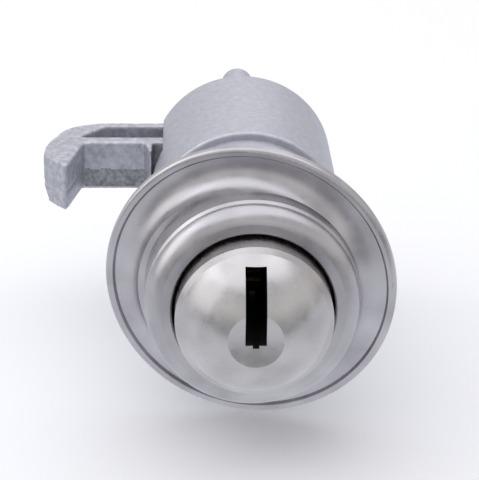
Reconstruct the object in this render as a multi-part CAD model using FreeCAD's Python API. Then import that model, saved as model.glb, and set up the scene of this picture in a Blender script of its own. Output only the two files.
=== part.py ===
import FreeCAD, Part
import math
import os

from FreeCAD import Placement, Rotation, Vector

# Frame: the lock's axis is Y, the face looks to -Y, +Z is up and the hook reaches to -X.
# The origin is on the axis at the front end of the neck.

# Gaps
running_gap = 0.07
free_gap = 0.30
press_gap = 0.02
flat_gap = 0.10

# Button head and key plug
head_shoulder = 0.85
head_rim_y = -15.6
head_bevel = 0.55
dome_height = 5.7
barrel_r = 7.90
barrel_front_y = -5.4
barrel_rear_y = 12.0
keyway_width = 2.3
keyway_bottom_z = -0.6
keyway_wall = 0.6
keyway_depth_y = 11.2
keyway_nick = 0.35
dish_r = 3.05
dish_depth = 0.35
tail_r = 2.6
tail_flat = 1.8
tail_rear_y = 14.7
clip_groove_r = 1.9

# Wafers
wafer_count = 4
wafer_first_y = -2.4
wafer_pitch = 2.6
wafer_thick = 1.0
wafer_width = 5.0
wafer_top_inset = 0.55
wafer_bottom_inset = 2.5
wafer_window_width = 2.9
wafer_window_bottom_z = -0.9
wafer_window_heights = (6.0, 5.3, 6.5, 5.7)
wafer_lug_reach = 1.5
wafer_lug_height = 1.2
wafer_lug_top_z = 1.4
wafer_travel = 0.7
wafer_slot_gap = 0.06
wafer_spring_r = 0.52
wafer_spring_wire_r = 0.12
wafer_spring_turns = 6
wafer_spring_bottom_z = -4.4

# Turning and pushing
key_turn = 90.0
push_travel = 3.0
hook_swing = 36.0

# Locking cam on the plug's tail
cam_front_y = 12.3
cam_thick = 1.5
cam_hub_r = 5.2
cam_width = 3.0
clip_width = 1.3
clip_thick = 0.5
clip_mouth = 2.8

# Sleeve that carries the plug
sleeve_wall = 1.06
sleeve_web = 1.8
sleeve_rear_y = 16.8
window_end_angle = 8
guide_pin_r = 1.0
guide_pin_y = 9.8

# Stem with the twisted slot
stem_r = 3.5
stem_rear_y = 32.9
slot_steps = 6
stem_pin_r = 0.6
drive_pin_r = 0.8
drive_pin_y = 30.9
drive_pin_inset = 0.4

# Housing
neck_wall = 1.9
spigot_wall = 1.8
spigot_front_y = -7.2
body_wall = 2.75
body_front_y = 14.24
rear_y = 37.8
rim_round = 0.4
web_front_y = 23.8
web_thick = 1.4
web_hole_r = 4.2
groove_end_angle = 4
arm_room_reach = 4
arm_room_inner_x = -2
arm_room_steps = 3
groove_depth = 1.1
stud_r = 2.05
stud_x = -0.6
stud_inset = 0.05
stud_length = 4.4
stud_round = 0.8

# Rear cover and its ring
cover_lap = 0.6
cover_thick = 0.8
ring_wire = 0.6
ring_bite = 0.35
ring_width = 1.75
ring_gap = 4.4

# Return spring
return_wire_r = 0.45
return_bore_gap = 0.8
return_turns = 3

# Hook
hub_r = 7.0
hub_front_y = 29.6
hub_length = 6.5
arm_front_y = 29.6
arm_top_z = 5.4
arm_bottom_z = -0.95
arm_step_gap = 0.35
root_x = -10.6
root_lap = 1.5
gusset_tip_x = -11.75
gusset_tip_y = 26.1
gusset_width = 0.35
gusset_foot_x = -12.8
notch_end_x = -20.6
tip_x = -22.25
tip_width = 0.6
tip_y = 20.9
nose_x = -25.5
nose_y = 25.0
nose_flat = 2.2
temple_x = -25.1
temple_y = 30.0
cheek_x = -24.2
cheek_y = 32.6
chest_x = -23.3
chest_y = 35.0
shoulder_x = -20.9
shoulder_y = 37.0
heel_bend_x = -19.3
heel_bend_y = 37.6
heel_x = -17.4
pocket_front_y = 31.8
pocket_rear_y = 36.1
pocket_front_x = -20.6
pocket_tip_x = -21.0
pocket_tip_y = 32.5
pocket_bend_x = -18.3
pocket_end_x = -8.8
pocket_depth = 4.4
top_round = 0.3
head_chamfer = 0.3

# Hook spring
hook_wire_r = 0.4
hook_mean_r = 5.3
hook_spring_turns = 2.5
hook_leg = 1.2

# Bezel: the ring is square to the lock's axis and the flange leans, so both have their own sizes
ring_wall = 3.07
ring_corner_y = -10.42
ring_corner_round = 0.45
land_y = -12.72
land_width = 1.2
lip_round = 0.18
flange_r = 16.8
flange_seat_y = -3.2
flange_edge = 1.45
flange_lean_left = 10.2
flange_lean_down = 4.6
lip_width = 0.85
step_width = 0.75
step_depth = 0.35
cove_r = 2.6
back_chamfer = 0.3
front_round = 0.45
front_round_mid = 0.13
step_slope = 0.25
cove_lap = 0.1
ring_slope = 0.1
nose_in_share = 0.32
nose_rise_share = 0.66
dowel_r = 0.5
dowel_length = 3.0
dowel_front_y = -8.6

# Sizes that follow from the ones above
head_r = barrel_r + head_shoulder
keyway_top_z = barrel_r - keyway_wall
wafer_top_z = barrel_r - wafer_top_inset
wafer_bottom_z = wafer_bottom_inset - barrel_r
bore_r = barrel_r + sleeve_wall + 2 * running_gap
groove_r = bore_r + groove_depth
cam_reach = groove_r - free_gap
guide_pin_reach = groove_r
neck_r = bore_r + neck_wall
spigot_r = bore_r + spigot_wall
body_r = bore_r + body_wall
stud_z = body_r - stud_r - stud_inset
clip_r = tail_r + clip_width
drive_pin_half = hub_r - drive_pin_inset
cover_r = hub_r + cover_lap
ring_reach = cover_r + ring_bite
arm_step_r = ring_reach + arm_step_gap
return_mean_r = bore_r - return_bore_gap - return_wire_r
ring_r = bore_r + ring_wall
land_r = bore_r + land_width
dowel_pitch_r = (bore_r + spigot_r) / 2

X_AXIS = Vector(1, 0, 0)
Y_AXIS = Vector(0, 1, 0)
Z_AXIS = Vector(0, 0, 1)
ORIGIN = Vector(0, 0, 0)


def rod_y(radius, y0, y1, x=0.0, z=0.0):
    return Part.makeCylinder(radius, y1 - y0, Vector(x, y0, z), Y_AXIS)


def tube_y(outer, inner, y0, y1):
    return rod_y(outer, y0, y1).cut(rod_y(inner, y0 - 1, y1 + 1))


def box(x0, x1, y0, y1, z0, z1):
    return Part.makeBox(x1 - x0, y1 - y0, z1 - z0, Vector(x0, y0, z0))


def turned_y(edges):
    # A closed outline in the X-Y plane, turned about the Y axis.
    face = Part.Face(Part.Wire(edges))
    return face.revolve(ORIGIN, Y_AXIS, 360)


def line(a, b):
    return Part.LineSegment(Vector(a[0], a[1], 0), Vector(b[0], b[1], 0)).toShape()


def arc(a, middle, b):
    return Part.Arc(*(Vector(p[0], p[1], 0) for p in (a, middle, b))).toShape()


def sector_y(radius, y0, y1, start, sweep):
    # A pie slice about Y. Angles run from +X towards +Z.
    solid = Part.makeCylinder(radius, y1 - y0, ORIGIN, Z_AXIS, sweep)
    solid.rotate(ORIGIN, Z_AXIS, start)
    solid.rotate(ORIGIN, X_AXIS, 90)
    solid.translate(Vector(0, y1, 0))
    return solid


def turned_about_axis(shape, degrees):
    copy = shape.copy()
    copy.rotate(ORIGIN, Y_AXIS, degrees)
    return copy


def coil(mean_r, wire_r, turns, length):
    # A round wire on a helix that climbs along +Z from the origin.
    path = Part.makeHelix(length / turns, length, mean_r)
    start = Vector(mean_r, 0, 0)
    tangent = Vector(0, 2 * math.pi * mean_r, length / turns)
    section = Part.Wire(Part.makeCircle(wire_r, start, tangent))
    return Part.Wire(path).makePipeShell([section], True, True)


def coil_y(mean_r, wire_r, turns, y0, y1):
    solid = coil(mean_r, wire_r, turns, y1 - y0)
    solid.rotate(ORIGIN, X_AXIS, -90)
    solid.translate(Vector(0, y0, 0))
    return solid


def wafer_y(index):
    return wafer_first_y + index * wafer_pitch


def lean():
    # Turns the lock's axis into the flange's own axis.
    to_left = Rotation(Z_AXIS, -flange_lean_left)
    downwards = Rotation(X_AXIS, flange_lean_down)
    return Placement(Vector(0, flange_seat_y, 0), downwards.multiply(to_left))


def dome_cap():
    # The cap's sphere meets the bevel's inner edge and stands dome_height in front of the rim.
    edge_r = head_r - head_bevel
    edge_y = head_rim_y - head_bevel * 0.5
    height = dome_height - head_bevel * 0.5
    sphere_r = (edge_r ** 2 + height ** 2) / (2 * height)
    apex_y = edge_y - height
    half = math.asin(edge_r / sphere_r) / 2
    middle = (sphere_r * math.sin(half), apex_y + sphere_r * (1 - math.cos(half)))
    return [
        arc((0, apex_y), middle, (edge_r, edge_y)),
        line((edge_r, edge_y), (head_r, head_rim_y + head_bevel * 0.5)),
    ], apex_y


def plug_blank():
    front, apex_y = dome_cap()
    outline = [(head_r, head_rim_y + head_bevel * 0.5), (head_r, barrel_front_y)]
    outline += [(barrel_r, barrel_front_y), (barrel_r, barrel_rear_y)]
    outline += [(tail_r, barrel_rear_y), (tail_r, tail_rear_y), (0, tail_rear_y), (0, apex_y)]
    edges = front + [line(a, b) for a, b in zip(outline[:-1], outline[1:])]
    return turned_y(edges), apex_y


def keyway(front_y):
    half = keyway_width / 2
    slot = box(-half, half, front_y - 2, keyway_depth_y, keyway_bottom_z, keyway_top_z)
    nick = box(-keyway_nick, keyway_nick, front_y - 2, barrel_front_y,
               keyway_bottom_z - keyway_nick, keyway_bottom_z)
    return slot.fuse(nick)


def wafer_slot(index):
    y0 = wafer_y(index) - wafer_slot_gap
    y1 = wafer_y(index) + wafer_thick + wafer_slot_gap
    side = wafer_width / 2 + wafer_slot_gap
    lug_side = side + wafer_lug_reach
    slot = box(-side, side, y0, y1, wafer_bottom_z - free_gap, barrel_r + 1)
    lug_room = box(0, lug_side, y0, y1, wafer_lug_top_z - wafer_lug_height - flat_gap,
                   wafer_lug_top_z + wafer_travel + free_gap)
    return slot.fuse(lug_room)


def wafer_spring_x():
    return wafer_width / 2 + wafer_lug_reach / 2


def spring_pocket(index):
    centre = Vector(wafer_spring_x(), wafer_y(index) + wafer_thick / 2, wafer_spring_bottom_z)
    depth = wafer_lug_top_z - wafer_lug_height - wafer_spring_bottom_z
    return Part.makeCylinder(wafer_spring_r + 2 * wafer_spring_wire_r, depth, centre, Z_AXIS)


def tail_flats(clearance=0.0):
    reach = tail_r + 1
    half = tail_flat + clearance
    y1 = tail_rear_y + 1
    upper = box(-reach, reach, barrel_rear_y, y1, half, reach)
    lower = box(-reach, reach, barrel_rear_y, y1, -reach, -half)
    return upper.fuse(lower)


def clip_y():
    return cam_front_y + cam_thick + flat_gap / 2


def key_plug():
    blank, apex_y = plug_blank()
    plug = blank.cut(tail_flats())
    dish_ball_r = (dish_r ** 2 + dish_depth ** 2) / (2 * dish_depth)
    sphere_sag = dish_r ** 2 / (2 * head_r)
    dish_centre_y = apex_y + sphere_sag + dish_depth - dish_ball_r
    plug = plug.cut(Part.makeSphere(dish_ball_r, Vector(0, dish_centre_y, 0)))
    plug = plug.cut(keyway(apex_y))
    for index in range(wafer_count):
        plug = plug.cut(wafer_slot(index))
        plug = plug.cut(spring_pocket(index))
    groove = tube_y(tail_r + 1, clip_groove_r, clip_y(), clip_y() + clip_thick + flat_gap / 2)
    return plug.cut(groove)


def wafer(index):
    y0 = wafer_y(index)
    y1 = y0 + wafer_thick
    half = wafer_width / 2
    plate = box(-half, half, y0, y1, wafer_bottom_z, wafer_top_z)
    lug = box(half, half + wafer_lug_reach, y0, y1, wafer_lug_top_z - wafer_lug_height,
              wafer_lug_top_z)
    window_top = wafer_window_bottom_z + wafer_window_heights[index % len(wafer_window_heights)]
    window_half = wafer_window_width / 2
    window = box(-window_half, window_half, y0 - 1, y1 + 1, wafer_window_bottom_z, window_top)
    return plate.fuse(lug).cut(window).removeSplitter()


def wafer_spring(index):
    low = wafer_spring_bottom_z + wafer_spring_wire_r
    high = wafer_lug_top_z - wafer_lug_height - wafer_spring_wire_r
    solid = coil(wafer_spring_r, wafer_spring_wire_r, wafer_spring_turns, high - low)
    solid.translate(Vector(wafer_spring_x(), wafer_y(index) + wafer_thick / 2, low))
    return solid


def lock_cam():
    y1 = cam_front_y + cam_thick
    half = cam_width / 2
    lobe = box(0, cam_reach + 1, cam_front_y, y1, -half, half)
    plate = rod_y(cam_hub_r, cam_front_y, y1).fuse(lobe)
    plate = plate.common(rod_y(cam_reach, cam_front_y, y1)).removeSplitter()
    shaft = rod_y(tail_r + press_gap, cam_front_y - 1, y1 + 1).cut(tail_flats(press_gap))
    return plate.cut(shaft)


def plug_clip():
    y0 = clip_y()
    clip = tube_y(clip_r, clip_groove_r + press_gap, y0, y0 + clip_thick)
    mouth = box(-clip_mouth / 2, clip_mouth / 2, y0 - 1, y0 + 2, 0, clip_r + 1)
    return clip.cut(mouth)


def sleeve_r():
    return bore_r - running_gap


def sleeve_front_y():
    return barrel_front_y + flat_gap


def cam_window(radius, grow):
    # The cam's lobe lies along +X and turns down to -Z.
    reach = math.degrees(math.asin(cam_width / 2 / bore_r)) + grow
    y0 = cam_front_y - free_gap
    y1 = cam_front_y + cam_thick + free_gap
    return sector_y(radius, y0, y1, -key_turn - reach, key_turn + 2 * reach)


def push_sleeve():
    front = sleeve_front_y()
    web_y = sleeve_rear_y - sleeve_web
    sleeve = rod_y(sleeve_r(), front, sleeve_rear_y)
    sleeve = sleeve.cut(rod_y(barrel_r + running_gap, front - 1, web_y))
    sleeve = sleeve.cut(rod_y(stem_r + press_gap, web_y - 1, sleeve_rear_y + 1))
    half = wafer_width / 2 + free_gap
    last = wafer_y(wafer_count - 1) + wafer_thick + free_gap
    sleeve = sleeve.cut(box(-half, half, wafer_first_y - free_gap, last, 0, bore_r + 1))
    window_edge = cam_window(bore_r + 1, window_end_angle).cut(
        cam_window(barrel_r - 1, window_end_angle + 1))
    sleeve = sleeve.cut(window_edge)
    guide_start = Vector(-bore_r - 1, guide_pin_y, 0)
    sleeve = sleeve.cut(Part.makeCylinder(guide_pin_r + press_gap, bore_r, guide_start, X_AXIS))
    cross_y = sleeve_rear_y - sleeve_web / 2
    cross = Part.makeCylinder(stem_pin_r + press_gap, 2 * bore_r + 2,
                              Vector(0, cross_y, -bore_r - 1), Z_AXIS)
    return sleeve.cut(cross)


def guide_pin():
    length = guide_pin_reach - barrel_r - free_gap
    return Part.makeCylinder(guide_pin_r, length, Vector(-guide_pin_reach, guide_pin_y, 0), X_AXIS)


def stem_pin():
    half = sleeve_r() - flat_gap
    cross_y = sleeve_rear_y - sleeve_web / 2
    return Part.makeCylinder(stem_pin_r, 2 * half, Vector(0, cross_y, -half), Z_AXIS)


def slot_section(y):
    # The drive pin's slot across the stem, turned as far as the hook is when the pin is there.
    slope = math.radians(hook_swing) * stem_r / push_travel
    half = (drive_pin_r + free_gap) * math.sqrt(1 + slope ** 2)
    reach = stem_r + 1
    turn = -hook_swing * (drive_pin_y - y) / push_travel
    corners = [(-half, -reach), (half, -reach), (half, reach), (-half, reach), (-half, -reach)]
    wire = Part.makePolygon([Vector(x, y, z) for x, z in corners])
    wire.rotate(ORIGIN, Y_AXIS, turn)
    return wire


def cam_stem():
    web_y = sleeve_rear_y - sleeve_web
    stem = rod_y(stem_r, web_y, stem_rear_y)
    end = drive_pin_r + free_gap + flat_gap
    low = drive_pin_y - push_travel - end
    high = drive_pin_y + end
    sections = [slot_section(low + (high - low) * step / slot_steps)
                for step in range(slot_steps + 1)]
    stem = stem.cut(Part.makeLoft(sections, True, False))
    cross_y = sleeve_rear_y - sleeve_web / 2
    cross = Part.makeCylinder(stem_pin_r + press_gap, 2 * bore_r, Vector(0, cross_y, -bore_r), Z_AXIS)
    return stem.cut(cross)


def hub_bore_r():
    return hub_r + running_gap


def web_rear_y():
    return web_front_y + web_thick


def cover_front_y():
    return rear_y - ring_wire - cover_thick


def arm_sweep(top, bottom, y0):
    # The room that the arm needs as it swings down, as boxes spread over the swing.
    room = None
    for step in range(arm_room_steps + 1):
        block = box(-body_r - arm_room_reach, arm_room_inner_x, y0, rear_y + 1, bottom, top)
        block = turned_about_axis(block, -hook_swing * step / arm_room_steps)
        room = block if room is None else room.fuse(block)
    return room


def housing():
    shell = rod_y(body_r, body_front_y, rear_y)
    front_edge = [e for e in shell.Edges if e.CenterOfMass.y < body_front_y + flat_gap]
    shell = shell.makeFillet(rim_round, front_edge)
    shell = shell.fuse(rod_y(neck_r, 0, body_front_y + 1))
    shell = shell.fuse(rod_y(spigot_r, spigot_front_y, 1))
    stud = rod_y(stud_r, rear_y - 2, rear_y + stud_length, stud_x, stud_z)
    far_edge = [e for e in stud.Edges if e.CenterOfMass.y > rear_y + stud_length - flat_gap]
    stud = stud.makeFillet(stud_round, far_edge)
    shell = shell.fuse(stud).removeSplitter()
    shell = shell.cut(rod_y(bore_r, spigot_front_y - 1, web_front_y))
    shell = shell.cut(rod_y(web_hole_r, web_front_y - 1, web_rear_y() + 1))
    shell = shell.cut(rod_y(hub_bore_r(), web_rear_y(), rear_y + 1))
    shell = shell.cut(rod_y(cover_r + press_gap, cover_front_y(), rear_y + 1))
    shell = shell.cut(rod_y(ring_reach + press_gap, rear_y - ring_wire, rear_y - ring_wire / 2))
    room = arm_sweep(arm_top_z + free_gap, arm_bottom_z - free_gap, gusset_tip_y - free_gap)
    shell = shell.cut(room)
    shell = shell.cut(cam_window(groove_r, groove_end_angle))
    cam_rear = cam_front_y + cam_thick + push_travel + free_gap
    half = cam_width / 2 + free_gap
    leg = box(0, groove_r, cam_front_y - free_gap, cam_rear, -half, half)
    shell = shell.cut(leg.common(rod_y(groove_r, 0, cam_rear)))
    guide_half = guide_pin_r + running_gap
    guide = box(-groove_r - free_gap, 0, guide_pin_y - guide_half,
                guide_pin_y + push_travel + guide_half, -guide_half, guide_half)
    shell = shell.cut(guide)
    shell = shell.cut(spring_leg(web_front_y - 1, web_rear_y() + 1, press_gap))
    return shell.cut(rod_y(dowel_r + press_gap, dowel_front_y, dowel_front_y + dowel_length, 0,
                           dowel_pitch_r))


def rear_cover():
    return rod_y(cover_r, cover_front_y(), cover_front_y() + cover_thick)


def cover_ring():
    y0 = rear_y - ring_wire
    ring = tube_y(ring_reach, ring_reach - ring_width, y0, y0 + ring_wire / 2 - press_gap)
    gap = box(-ring_gap / 2, ring_gap / 2, y0 - 1, rear_y + 1, 0, ring_reach + 1)
    room = arm_sweep(arm_top_z + free_gap, arm_bottom_z - free_gap, y0 - 1)
    return ring.cut(turned_about_axis(gap, 90)).cut(room.cut(rod_y(cover_r, 0, rear_y + 2)))


def return_spring():
    y0 = sleeve_rear_y + return_wire_r
    y1 = web_front_y - return_wire_r
    return coil_y(return_mean_r, return_wire_r, return_turns, y0, y1)


def spring_leg(y0, y1, clearance):
    return rod_y(hook_wire_r + clearance, y0, y1, hook_mean_r, 0)


def hook_spring():
    y0 = web_rear_y() + hook_wire_r + flat_gap
    y1 = hub_front_y - hook_wire_r - flat_gap
    wire = coil_y(hook_mean_r, hook_wire_r, hook_spring_turns, y0, y1)
    front_leg = spring_leg(y0 - hook_leg - hook_wire_r, y0, 0)
    rear_leg = turned_about_axis(spring_leg(y1, y1 + hook_leg + hook_wire_r, 0), 180)
    return wire.fuse(front_leg).fuse(rear_leg)


def hook_outline(z):
    # The points run from the arm's root at the rear, round the head and back along the front.
    root = (root_x, rear_y)
    heel = (heel_x, rear_y)
    shoulder = (shoulder_x, shoulder_y)
    cheek = (cheek_x, cheek_y)
    nose = (nose_x, nose_y + nose_flat)
    brow = (nose_x, nose_y)
    tip = (tip_x - tip_width, tip_y)
    tip_in = (tip_x, tip_y)
    notch = (notch_end_x, arm_front_y)
    foot = (gusset_foot_x, arm_front_y)
    gusset = (gusset_tip_x - gusset_width, gusset_tip_y)
    gusset_in = (gusset_tip_x, gusset_tip_y)
    inner = (gusset_tip_x, arm_front_y)
    edges = [line(root, heel)]
    edges.append(arc(heel, (heel_bend_x, heel_bend_y), shoulder))
    edges.append(arc(shoulder, (chest_x, chest_y), cheek))
    edges.append(arc(cheek, (temple_x, temple_y), nose))
    corners = [nose, brow, tip, tip_in, notch, foot, gusset, gusset_in, inner, root]
    edges += [line(start, end) for start, end in zip(corners[:-1], corners[1:])]
    wire = Part.Wire(edges)
    wire.translate(Vector(0, 0, z))
    return wire


def flat_edges(shape, z, low_x, high_x):
    # The edges that lie level at z between two distances from the axis.
    return [e for e in shape.Edges if abs(e.BoundBox.ZMin - z) < flat_gap
            and abs(e.BoundBox.ZMax - z) < flat_gap
            and e.BoundBox.XMin > low_x and e.BoundBox.XMax < high_x]


def hook():
    outer = Part.Face(hook_outline(arm_bottom_z)).extrude(Vector(0, 0, arm_top_z - arm_bottom_z))
    root = box(root_x - root_lap, 0, arm_front_y, rear_y, arm_bottom_z, arm_top_z)
    root = root.cut(rod_y(arm_step_r, cover_front_y() - free_gap, rear_y + 1))
    hub = rod_y(hub_r, hub_front_y, hub_front_y + hub_length)
    body = outer.fuse(root).fuse(hub).removeSplitter()
    pocket_points = [(pocket_end_x, pocket_front_y), (pocket_front_x, pocket_front_y)]
    pocket_points += [(pocket_tip_x, pocket_tip_y), (pocket_bend_x, pocket_rear_y)]
    pocket_points += [(pocket_end_x, pocket_rear_y), (pocket_end_x, pocket_front_y)]
    pocket = Part.Face(Part.makePolygon([Vector(x, y, arm_top_z + 1) for x, y in pocket_points]))
    body = body.cut(pocket.extrude(Vector(0, 0, -pocket_depth - 1)))
    body = body.cut(rod_y(stem_r + free_gap, hub_front_y - 1, rear_y + 1))
    pin_start = Vector(0, drive_pin_y, -2 * hub_r)
    body = body.cut(Part.makeCylinder(drive_pin_r + press_gap, 4 * hub_r, pin_start, Z_AXIS))
    leg_hole = spring_leg(hub_front_y - 1, hub_front_y + hook_leg, free_gap / 2)
    body = body.cut(turned_about_axis(leg_hole, 180))
    head = flat_edges(body, arm_bottom_z, nose_x - 1, notch_end_x + flat_gap)
    head = [e for e in head if e.BoundBox.YMax < cheek_y + flat_gap]
    body = body.makeChamfer(head_chamfer, head)
    rim = flat_edges(body, arm_top_z, nose_x - 1, root_x - root_lap)
    return body.makeFillet(top_round, rim)


def drive_pin():
    return Part.makeCylinder(drive_pin_r, 2 * drive_pin_half, Vector(0, drive_pin_y, -drive_pin_half),
                             Z_AXIS)


def ring_solid():
    # Half outline of the raised ring, from behind the flange to the nose.
    nose_mid_r = ring_r - nose_in_share * (ring_r - land_r)
    nose_mid_y = ring_corner_y + nose_rise_share * (land_y - ring_corner_y)
    behind_y = flange_seat_y + cove_r + flange_edge
    foot = (ring_r + ring_slope, behind_y)
    wall_end = (ring_r, ring_corner_y + ring_corner_round)
    nose_start = (ring_r - ring_corner_round / 2, ring_corner_y)
    land_edge = (bore_r + lip_round, land_y)
    lip = (bore_r, land_y + lip_round)
    edges = [
        line((0, behind_y), foot),
        line(foot, wall_end),
        line(wall_end, nose_start),
        arc(nose_start, (nose_mid_r, nose_mid_y), (land_r, land_y)),
        line((land_r, land_y), land_edge),
        line(land_edge, lip),
        line(lip, (0, lip[1])),
        line((0, lip[1]), (0, behind_y)),
    ]
    return turned_y(edges)


def flange_solid():
    # The outline is drawn square to the axis with its back at y = 0, then leant over.
    groove_edge_r = flange_r - lip_width
    groove_floor_r = groove_edge_r - step_slope
    floor_y = -flange_edge + step_depth
    cove_x = groove_edge_r - step_width - cove_lap
    cove_y = floor_y - cove_r
    diagonal = cove_r * math.sqrt(0.5)
    round_start = (flange_r, -flange_edge + front_round)
    round_middle = (flange_r - front_round_mid, -flange_edge + front_round_mid)
    round_end = (flange_r - front_round, -flange_edge)
    corners = [(0, 0), (flange_r - back_chamfer, 0), (flange_r, -back_chamfer), round_start]
    edges = [line(start, end) for start, end in zip(corners[:-1], corners[1:])]
    edges.append(arc(round_start, round_middle, round_end))
    edges.append(line(round_end, (groove_edge_r, -flange_edge)))
    edges.append(line((groove_edge_r, -flange_edge), (groove_floor_r, floor_y)))
    edges.append(line((groove_floor_r, floor_y), (cove_x, floor_y)))
    edges.append(arc((cove_x, floor_y), (cove_x - diagonal, cove_y + diagonal),
                     (cove_x - cove_r, cove_y)))
    edges.append(line((cove_x - cove_r, cove_y), (0, cove_y)))
    edges.append(line((0, cove_y), (0, 0)))
    flange = turned_y(edges)
    flange.Placement = lean()
    return flange


def bezel():
    behind = rod_y(flange_r, 0, flange_r)
    behind.Placement = lean()
    ring = ring_solid().cut(behind)
    body = ring.fuse(flange_solid()).removeSplitter()
    body = body.cut(rod_y(bore_r, land_y - 1, flange_r))
    body = body.cut(rod_y(spigot_r + press_gap, spigot_front_y - press_gap, flange_r))
    return body.cut(rod_y(dowel_r + press_gap, dowel_front_y - press_gap, spigot_front_y + 1, 0,
                          dowel_pitch_r))


def bezel_dowel():
    return rod_y(dowel_r, dowel_front_y, dowel_front_y + dowel_length - flat_gap, 0, dowel_pitch_r)


def pieces():
    parts = {
        "bezel": bezel(),
        "bezel_dowel": bezel_dowel(),
        "housing": housing(),
        "rear_cover": rear_cover(),
        "cover_ring": cover_ring(),
        "return_spring": return_spring(),
        "hook_spring": hook_spring(),
        "push_sleeve": push_sleeve(),
        "guide_pin": guide_pin(),
        "cam_stem": cam_stem(),
        "stem_pin": stem_pin(),
        "key_plug": key_plug(),
        "lock_cam": lock_cam(),
        "plug_clip": plug_clip(),
        "hook": hook(),
        "drive_pin": drive_pin(),
    }
    for index in range(wafer_count):
        parts["wafer_%d" % (index + 1)] = wafer(index)
        parts["wafer_spring_%d" % (index + 1)] = wafer_spring(index)
    return parts


def main():
    os.makedirs("parts", exist_ok=True)
    for name, shape in pieces().items():
        shape.exportStep("parts/%s.step" % name)
        print(name, shape.isValid(), len(shape.Solids), round(shape.Volume, 3))


main()
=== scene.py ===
import math

import bpy
from mathutils import Matrix, Vector, noise as field


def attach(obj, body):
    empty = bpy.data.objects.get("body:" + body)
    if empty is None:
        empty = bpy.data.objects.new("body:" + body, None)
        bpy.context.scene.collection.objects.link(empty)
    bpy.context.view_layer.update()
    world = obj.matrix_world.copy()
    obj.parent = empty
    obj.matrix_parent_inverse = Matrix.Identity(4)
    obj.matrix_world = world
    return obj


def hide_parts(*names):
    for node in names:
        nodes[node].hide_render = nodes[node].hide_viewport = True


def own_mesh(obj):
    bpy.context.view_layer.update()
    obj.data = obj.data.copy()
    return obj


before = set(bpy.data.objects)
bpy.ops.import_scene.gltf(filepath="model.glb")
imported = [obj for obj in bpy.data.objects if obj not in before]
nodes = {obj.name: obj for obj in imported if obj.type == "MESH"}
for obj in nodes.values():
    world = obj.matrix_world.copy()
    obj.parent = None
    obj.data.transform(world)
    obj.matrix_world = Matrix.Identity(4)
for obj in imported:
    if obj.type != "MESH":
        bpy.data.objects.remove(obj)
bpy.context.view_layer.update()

MM = 0.001


# Materials

def new_material(name):
    mat = bpy.data.materials.new(name)
    mat.use_nodes = True
    tree = mat.node_tree
    shader = next(n for n in tree.nodes if n.type == "BSDF_PRINCIPLED")
    return mat, tree, shader


def noise(tree, scale, detail=4.0, rough=0.55, stretch=(1, 1, 1)):
    coord = tree.nodes.new("ShaderNodeTexCoord")
    mapping = tree.nodes.new("ShaderNodeMapping")
    mapping.inputs["Scale"].default_value = stretch
    texture = tree.nodes.new("ShaderNodeTexNoise")
    texture.inputs["Scale"].default_value = scale
    texture.inputs["Detail"].default_value = detail
    texture.inputs["Roughness"].default_value = rough
    tree.links.new(coord.outputs["Object"], mapping.inputs["Vector"])
    tree.links.new(mapping.outputs["Vector"], texture.inputs["Vector"])
    return texture.outputs["Fac"]


def ramp(tree, value, stops):
    node = tree.nodes.new("ShaderNodeValToRGB")
    band = node.color_ramp
    while len(band.elements) < len(stops):
        band.elements.new(0.5)
    for element, (place, colour) in zip(band.elements, stops):
        element.position = place
        element.color = (*colour, 1.0)
    tree.links.new(value, node.inputs["Fac"])
    return node.outputs["Color"]


def spread(tree, value, low, high):
    node = tree.nodes.new("ShaderNodeMapRange")
    node.inputs["From Min"].default_value = 0.3
    node.inputs["From Max"].default_value = 0.7
    node.inputs["To Min"].default_value = low
    node.inputs["To Max"].default_value = high
    tree.links.new(value, node.inputs["Value"])
    return node.outputs["Result"]


def bump(tree, shader, value, strength, distance):
    node = tree.nodes.new("ShaderNodeBump")
    node.inputs["Strength"].default_value = strength
    node.inputs["Distance"].default_value = distance
    tree.links.new(value, node.inputs["Height"])
    tree.links.new(node.outputs["Normal"], shader.inputs["Normal"])


def metal(name, dark, light, rough, grain, metallic=1.0, bump_mm=0.0, bump_scale=2500.0):
    mat, tree, shader = new_material(name)
    shader.inputs["Metallic"].default_value = metallic
    tone = noise(tree, grain)
    tree.links.new(ramp(tree, tone, [(0.3, dark), (0.7, light)]), shader.inputs["Base Color"])
    fine = noise(tree, grain * 4)
    tree.links.new(spread(tree, fine, rough[0], rough[1]), shader.inputs["Roughness"])
    if bump_mm:
        bump(tree, shader, noise(tree, bump_scale, 6.0, 0.6), 0.6, bump_mm * MM)
    return mat


chrome = metal("chrome_plate", (0.42, 0.405, 0.425), (0.62, 0.605, 0.62), (0.26, 0.40), 170.0,
               1.0, 0.02, 700.0)
plug_chrome = metal("plug_chrome", (0.47, 0.455, 0.457), (0.64, 0.625, 0.62), (0.23, 0.36), 200.0,
                    1.0, 0.018, 800.0)
zinc_body = metal("zinc_body", (0.50, 0.51, 0.565), (0.60, 0.61, 0.665), (0.42, 0.54), 1300.0,
                  0.9, 0.03, 2200.0)
zinc_hook = metal("zinc_hook", (0.40, 0.41, 0.45), (0.64, 0.65, 0.70), (0.45, 0.60), 1400.0,
                  0.85, 0.05, 2200.0)
steel = metal("steel", (0.50, 0.50, 0.51), (0.60, 0.60, 0.61), (0.28, 0.4), 200.0)
spring_steel = metal("spring_steel", (0.30, 0.30, 0.32), (0.40, 0.40, 0.42), (0.3, 0.42), 200.0)
# Painted shade: the wafers' and sleeve's brass is darkened far below its own colour, for the shade
# deep inside the lock
brass_painted_shade = metal("wafer_brass", (0.12, 0.07, 0.03), (0.20, 0.13, 0.06), (0.4, 0.5), 200.0)
zinc_rough = metal("zinc_hook_rough", (0.24, 0.245, 0.26), (0.50, 0.51, 0.54), (0.6, 0.72), 1900.0,
                   0.8, 0.12, 2600.0)
# Painted shade: a near-black material for the inside of the key slot
painted_slot_shade = metal("slot_painted_shade", (0.012, 0.011, 0.010), (0.03, 0.027, 0.024), (0.5, 0.6), 200.0, 0.3)

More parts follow.
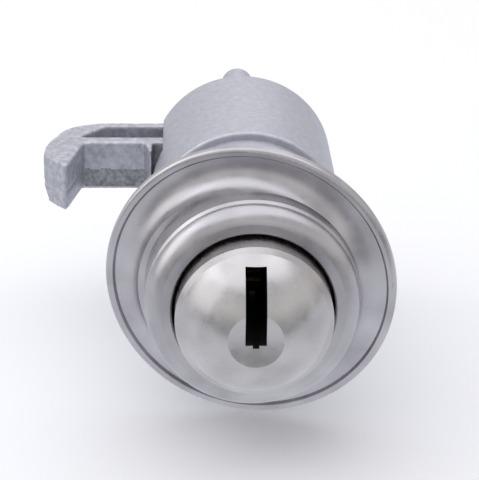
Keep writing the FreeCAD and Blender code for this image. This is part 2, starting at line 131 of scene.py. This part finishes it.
FINISH = {
    "bezel": chrome, "key_plug": plug_chrome, "housing": zinc_body, "hook": zinc_hook,
    "rear_cover": steel, "cover_ring": spring_steel, "return_spring": spring_steel,
    "hook_spring": spring_steel, "bezel_dowel": steel, "push_sleeve": brass_painted_shade, "guide_pin": steel,
    "cam_stem": steel, "stem_pin": steel, "lock_cam": steel, "plug_clip": spring_steel,
    "drive_pin": steel,
}
for name, node in nodes.items():
    finish = FINISH.get(name, spring_steel if name.startswith("wafer_spring") else brass_painted_shade)
    node.data.materials.clear()
    node.data.materials.append(finish)


# Painted shade: the plug's inner faces along its axis, such as the key slot's walls, get a
# near-black material that stands in for the shade inside the slot

DOME_R = 9.2
DOME_APEX_Y = -21.3
BARREL_R = 7.9
SLOT_INSIDE_R = BARREL_R - 0.2
SKIN_DEPTH = 0.15
LEVEL_LIMIT = 0.2
plug_mesh = nodes["key_plug"].data
plug_mesh.materials.append(painted_slot_shade)
for face in plug_mesh.polygons:
    x, y, z = (c / MM for c in face.center)
    r = math.hypot(x, z)
    front_y = DOME_APEX_Y + DOME_R - math.sqrt(max(DOME_R ** 2 - r ** 2, 0.0))
    level = abs(face.normal.y) < LEVEL_LIMIT
    if level and r < SLOT_INSIDE_R and y > front_y + SKIN_DEPTH:
        face.material_index = 1


# The hook's casting: soft corners, a tapered lower half and a rough skin

VOXEL = 0.18 * MM
PARTING_Z = 1.9
HOOK_LOW_Z = -0.95
HEAD_X = -20.0
VISIBLE_X = -11.0
NOTCH_Y = 29.6


def copy_mesh(name, source):
    mesh = source.data.copy()
    obj = bpy.data.objects.new(name, mesh)
    bpy.context.collection.objects.link(obj)
    return obj


def apply_modifiers(obj):
    graph = bpy.context.evaluated_depsgraph_get()
    done = bpy.data.meshes.new_from_object(obj.evaluated_get(graph))
    obj.modifiers.clear()
    obj.data = done


def smooth_step(low, high, value):
    t = min(max((value - low) / (high - low), 0.0), 1.0)
    return t * t * (3 - 2 * t)


hook_cast = copy_mesh("hook_cast", nodes["hook"])
remesh = hook_cast.modifiers.new("remesh", "REMESH")
remesh.mode = "VOXEL"
remesh.voxel_size = VOXEL
soften = hook_cast.modifiers.new("soften", "SMOOTH")
soften.iterations = 5
soften.factor = 0.5
apply_modifiers(hook_cast)
points = [vertex.co.copy() for vertex in hook_cast.data.vertices]
normals = [vertex.normal.copy() for vertex in hook_cast.data.vertices]
for index, (point, normal) in enumerate(zip(points, normals)):
    x, y, z = point / MM
    if x > VISIBLE_X:
        continue
    place = Vector((x, y, z))
    head = smooth_step(HEAD_X, HEAD_X - 1.2, x)
    if head:
        below = smooth_step(PARTING_Z + 0.2, HOOK_LOW_Z, z)
        inset = (0.25 + 0.27 * smooth_step(-23.0, -25.0, x)) * below ** 1.6
        inset += 0.17 * math.exp(-((z - PARTING_Z + 0.15) / 0.17) ** 2)
        place -= Vector((normal.x, normal.y, 0)) * (inset * head)
        edge = smooth_step(23.5, 21.0, y)
        place.z += 0.15 * edge * smooth_step(0.2, HOOK_LOW_Z, z)
    coarse = field.fractal(place * 0.9, 0.8, 2.0, 3)
    fine = field.fractal(place * 3.1 + Vector((7, 3, 5)), 0.7, 2.1, 2)
    wall = smooth_step(NOTCH_Y + 0.5, NOTCH_Y + 0.1, y) * smooth_step(2.3, 1.3, z)
    wall *= smooth_step(HEAD_X - 0.6, HEAD_X + 0.6, x) * smooth_step(-1.1, -0.4, z)
    depth = 0.03 * abs(coarse) + 0.03 * abs(fine) + 0.16 * wall * abs(fine + 0.5 * coarse)
    place -= normal * depth
    points[index] = place * MM
hook_cast.data.vertices.foreach_set("co", [c for point in points for c in point])
hook_cast.data.polygons.foreach_set("use_smooth", [True] * len(hook_cast.data.polygons))
hook_cast.data.materials.clear()
hook_cast.data.materials.append(zinc_hook)
hook_cast.data.materials.append(zinc_rough)
for face in hook_cast.data.polygons:
    x, y, z = face.center / MM
    if VISIBLE_X < x or z > 4.0 or face.normal.z > 0.6:
        continue
    spot = field.noise(Vector((x, y, z)) * 0.5)
    on_wall = NOTCH_Y - 0.1 < y < NOTCH_Y + 0.4 and x > HEAD_X - 0.5
    if on_wall and -0.55 < z < 1.8 + 0.5 * spot:
        face.material_index = 1
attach(hook_cast, "hook")
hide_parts("hook")


# The return spring as a coil of wire fixed to the case

COIL_R = 7.85
COIL_WIRE_R = 0.45
COIL_TURNS = 3
COIL_FRONT_Y = 16.8
COIL_REAR_Y = 23.8
STEPS_A_TURN = 64
WIRE_SIDES = 14

coil_points = []
coil_faces = []
climb = COIL_REAR_Y - COIL_FRONT_Y - 2 * COIL_WIRE_R
coil_steps = COIL_TURNS * STEPS_A_TURN
for step in range(coil_steps + 1):
    angle = 2 * math.pi * step / STEPS_A_TURN
    y0 = COIL_FRONT_Y + COIL_WIRE_R + climb * step / coil_steps
    for side in range(WIRE_SIDES):
        lean = 2 * math.pi * side / WIRE_SIDES
        r = COIL_R + COIL_WIRE_R * math.cos(lean)
        y = y0 + COIL_WIRE_R * math.sin(lean)
        coil_points.append((r * math.cos(angle) * MM, y * MM, -r * math.sin(angle) * MM))
for step in range(coil_steps):
    for side in range(WIRE_SIDES):
        here = step * WIRE_SIDES + side
        beside = step * WIRE_SIDES + (side + 1) % WIRE_SIDES
        coil_faces.append((here, beside, beside + WIRE_SIDES, here + WIRE_SIDES))
coil_faces.append(tuple(reversed(range(WIRE_SIDES))))
coil_faces.append(tuple(range(coil_steps * WIRE_SIDES, (coil_steps + 1) * WIRE_SIDES)))
coil_mesh = bpy.data.meshes.new("return_coil")
coil_mesh.from_pydata(coil_points, [], coil_faces)
coil_mesh.polygons.foreach_set("use_smooth", [True] * len(coil_mesh.polygons))
coil_mesh.materials.append(spring_steel)
return_coil = bpy.data.objects.new("return_coil", coil_mesh)
bpy.context.collection.objects.link(return_coil)
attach(return_coil, "case")
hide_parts("return_spring")
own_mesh(return_coil)


# Floor

FLOOR_FRONT_Y = -0.066
FLOOR_HALF = 3.0
FADE_START = 0.12
FADE_END = 0.34
FLOOR_Z = -17.6 * MM


def maths(tree, operation, first, second):
    node = tree.nodes.new("ShaderNodeMath")
    node.operation = operation
    tree.links.new(first, node.inputs[0])
    node.inputs[1].default_value = second
    return node.outputs["Value"]


def emitter(tree, colour, strength):
    node = tree.nodes.new("ShaderNodeEmission")
    node.inputs["Color"].default_value = (*colour, 1)
    node.inputs["Strength"].default_value = strength
    return node.outputs["Emission"]


def mixed(tree, fac, first, second):
    node = tree.nodes.new("ShaderNodeMixShader")
    tree.links.new(fac, node.inputs["Fac"])
    tree.links.new(first, node.inputs[1])
    tree.links.new(second, node.inputs[2])
    return node.outputs["Shader"]


# The floor fades to white far away. In reflections it is a pale table that ends in front.
floor_mat, floor_tree, floor_shader = new_material("floor")
floor_shader.inputs["Base Color"].default_value = (0.95, 0.955, 0.965, 1)
floor_shader.inputs["Roughness"].default_value = 0.9
spot = floor_tree.nodes.new("ShaderNodeNewGeometry").outputs["Position"]
spot_parts = floor_tree.nodes.new("ShaderNodeSeparateXYZ")
floor_tree.links.new(spot, spot_parts.inputs["Vector"])
in_front = maths(floor_tree, "LESS_THAN", spot_parts.outputs["Y"], FLOOR_FRONT_Y)
reflected = mixed(floor_tree, in_front, emitter(floor_tree, (0.80, 0.82, 0.88), 0.95),
                  emitter(floor_tree, (0.34, 0.345, 0.37), 1.0))
far = floor_tree.nodes.new("ShaderNodeVectorMath")
far.operation = "LENGTH"
floor_tree.links.new(spot, far.inputs[0])
fade = floor_tree.nodes.new("ShaderNodeMapRange")
fade.inputs["From Min"].default_value = FADE_START
fade.inputs["From Max"].default_value = FADE_END
floor_tree.links.new(far.outputs["Value"], fade.inputs["Value"])
seen = mixed(floor_tree, fade.outputs["Result"], floor_shader.outputs["BSDF"],
             emitter(floor_tree, (1, 1, 1), 1.0))
ray = floor_tree.nodes.new("ShaderNodeLightPath")
surface = next(n for n in floor_tree.nodes if n.type == "OUTPUT_MATERIAL")
floor_tree.links.new(mixed(floor_tree, ray.outputs["Is Camera Ray"], reflected, seen),
                     surface.inputs["Surface"])
floor_data = bpy.data.meshes.new("floor")
corners = [(-1, -1), (1, -1), (1, 1), (-1, 1)]
floor_data.from_pydata([(x * FLOOR_HALF, y * FLOOR_HALF, FLOOR_Z) for x, y in corners],
                       [], [(0, 1, 2, 3)])
floor = bpy.data.objects.new("floor", floor_data)
floor.data.materials.append(floor_mat)
bpy.context.collection.objects.link(floor)


# Light

world = bpy.data.worlds.new("tent")
bpy.context.scene.world = world
world.use_nodes = True
wt = world.node_tree
for item in list(wt.nodes):
    wt.nodes.remove(item)
coord = wt.nodes.new("ShaderNodeTexCoord")
parts = wt.nodes.new("ShaderNodeSeparateXYZ")
wt.links.new(coord.outputs["Generated"], parts.inputs["Vector"])
height = wt.nodes.new("ShaderNodeMapRange")
height.inputs["From Min"].default_value = -1
height.inputs["From Max"].default_value = 1
wt.links.new(parts.outputs["Z"], height.inputs["Value"])
tent = ramp(wt, height.outputs["Result"], [
    (0.0, (0.60, 0.62, 0.68)),
    (0.26, (0.40, 0.41, 0.45)),
    (0.36, (0.30, 0.30, 0.32)),
    (0.50, (0.42, 0.41, 0.42)),
    (0.66, (0.80, 0.78, 0.77)),
    (0.80, (0.66, 0.655, 0.68)),
    (1.0, (0.58, 0.58, 0.62)),
])
tent_light = wt.nodes.new("ShaderNodeBackground")
wt.links.new(tent, tent_light.inputs["Color"])
tent_light.inputs["Strength"].default_value = 1.0
white = wt.nodes.new("ShaderNodeBackground")
white.inputs["Color"].default_value = (1, 1, 1, 1)
white.inputs["Strength"].default_value = 1.0
path = wt.nodes.new("ShaderNodeLightPath")
mix = wt.nodes.new("ShaderNodeMixShader")
out = wt.nodes.new("ShaderNodeOutputWorld")
wt.links.new(path.outputs["Is Camera Ray"], mix.inputs["Fac"])
wt.links.new(tent_light.outputs["Background"], mix.inputs[1])
wt.links.new(white.outputs["Background"], mix.inputs[2])
wt.links.new(mix.outputs["Shader"], out.inputs["Surface"])


def area(name, place, target, size, power, colour=(1, 1, 1)):
    data = bpy.data.lights.new(name, "AREA")
    data.shape = "RECTANGLE"
    data.size, data.size_y = size
    data.energy = power
    data.color = colour
    lamp = bpy.data.objects.new(name, data)
    lamp.location = place
    aim = Vector(target) - Vector(place)
    lamp.rotation_euler = aim.to_track_quat("-Z", "Y").to_euler()
    bpy.context.collection.objects.link(lamp)
    return lamp


area("top_light", (-0.05, 0.10, 0.45), (0, 0.01, 0), (0.9, 0.8), 1.7, (0.96, 0.97, 1.0))
area("left_light", (-0.40, 0.0, 0.20), (0, 0.01, 0), (0.4, 0.4), 0.35, (0.97, 0.98, 1.0))


# Camera

LENS_MM = 150.0
SENSOR_MM = 36.0
CAMERA_PLACE = Vector((-7.80, -215.3, 88.3)) * MM

camera_data = bpy.data.cameras.new("camera")
camera_data.lens = LENS_MM
camera_data.sensor_width = SENSOR_MM
camera = bpy.data.objects.new("camera", camera_data)
right = Vector((0.9996, -0.0262, 0.0103))
up = Vector((0.0, 0.3664, 0.9305))
back = right.cross(up).normalized()
up = back.cross(right).normalized()
right.normalize()
camera.matrix_world = Matrix((
    (right.x, up.x, back.x, CAMERA_PLACE.x),
    (right.y, up.y, back.y, CAMERA_PLACE.y),
    (right.z, up.z, back.z, CAMERA_PLACE.z),
    (0, 0, 0, 1)))
bpy.context.collection.objects.link(camera)
bpy.context.scene.camera = camera
bpy.context.scene.view_settings.view_transform = "Standard"
